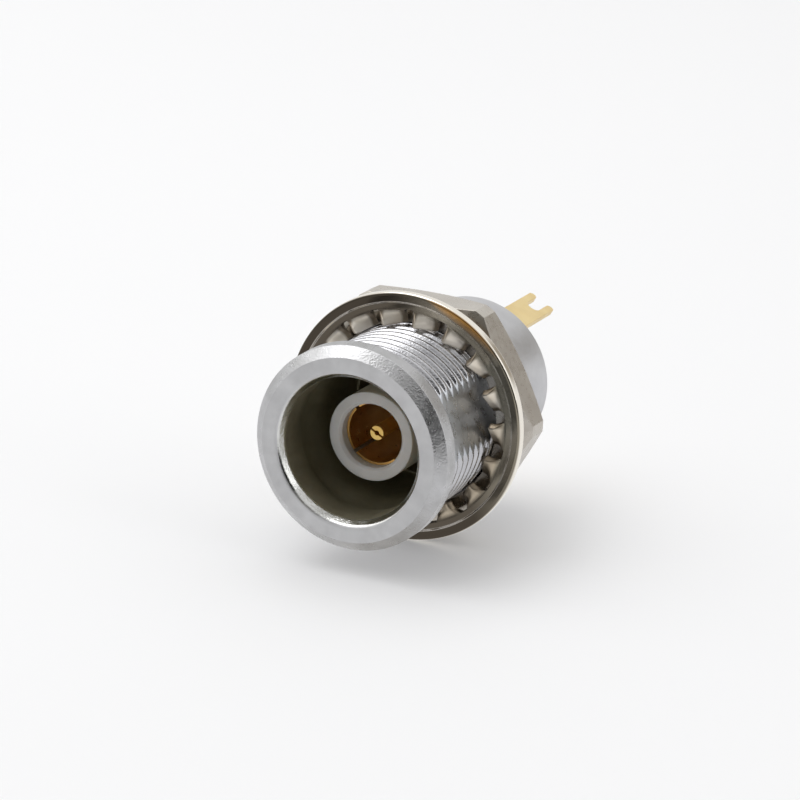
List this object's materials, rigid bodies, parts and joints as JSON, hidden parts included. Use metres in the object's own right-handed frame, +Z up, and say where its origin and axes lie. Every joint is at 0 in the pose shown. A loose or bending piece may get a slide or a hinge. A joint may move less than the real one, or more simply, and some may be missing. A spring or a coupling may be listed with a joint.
{
  "type": "triax panel socket",
  "caption": "Round push-pull triax panel socket: flanged threaded shell, white insulator, gold contacts, lock washer, hexagon nut and forked solder tag.",
  "frame": {"origin": "on the mating axis, in the rear face of the flange, where the panel seats", "axes": "+Y along the mating axis, from the mouth to the solder end; +Z up; hexagon nut's corners on +X and -X"},
  "size_m": [0.0124, 0.0187, 0.0124],
  "materials": {
    "satin_chrome": "satin chrome over brass",
    "bare_nickel": "nickel-plated brass",
    "bright_nickel": "bright nickel plate",
    "satin_nickel": "satin nickel plate over brass",
    "gold": "gold plate over brass",
    "white_plastic": "smooth white, slightly translucent"
  },
  "bodies": {
    "socket": {"outer_shell": "satin_chrome", "earth_crown": "bare_nickel", "front_insulator": "white_plastic", "shield_contact": "gold", "core_insulator": "white_plastic", "core_retainer": "white_plastic", "centre_contact": "gold", "rear_insulator": "white_plastic", "end_ring": "bare_nickel", "shield_tag": "gold"},
    "washer": {"lock_washer": "bright_nickel"},
    "nut": {"hex_nut": "satin_nickel"}
  },
  "joints": [
    {"name": "washer_slide", "type": "slide", "parent": "socket", "child": "washer", "axis": [0, -1, 0], "range_m": [-0.0018, 0.0042]},
    {"name": "nut_turn", "type": "hinge", "parent": "washer", "child": "nut", "pos_m": [0, 0, 0], "axis": [0, -1, 0], "range_deg": [-1081, 2521]}
  ],
  "couplings": [
    {"joint": "nut_turn", "follows": "washer_slide", "rad_per_m": 10472}
  ]
}
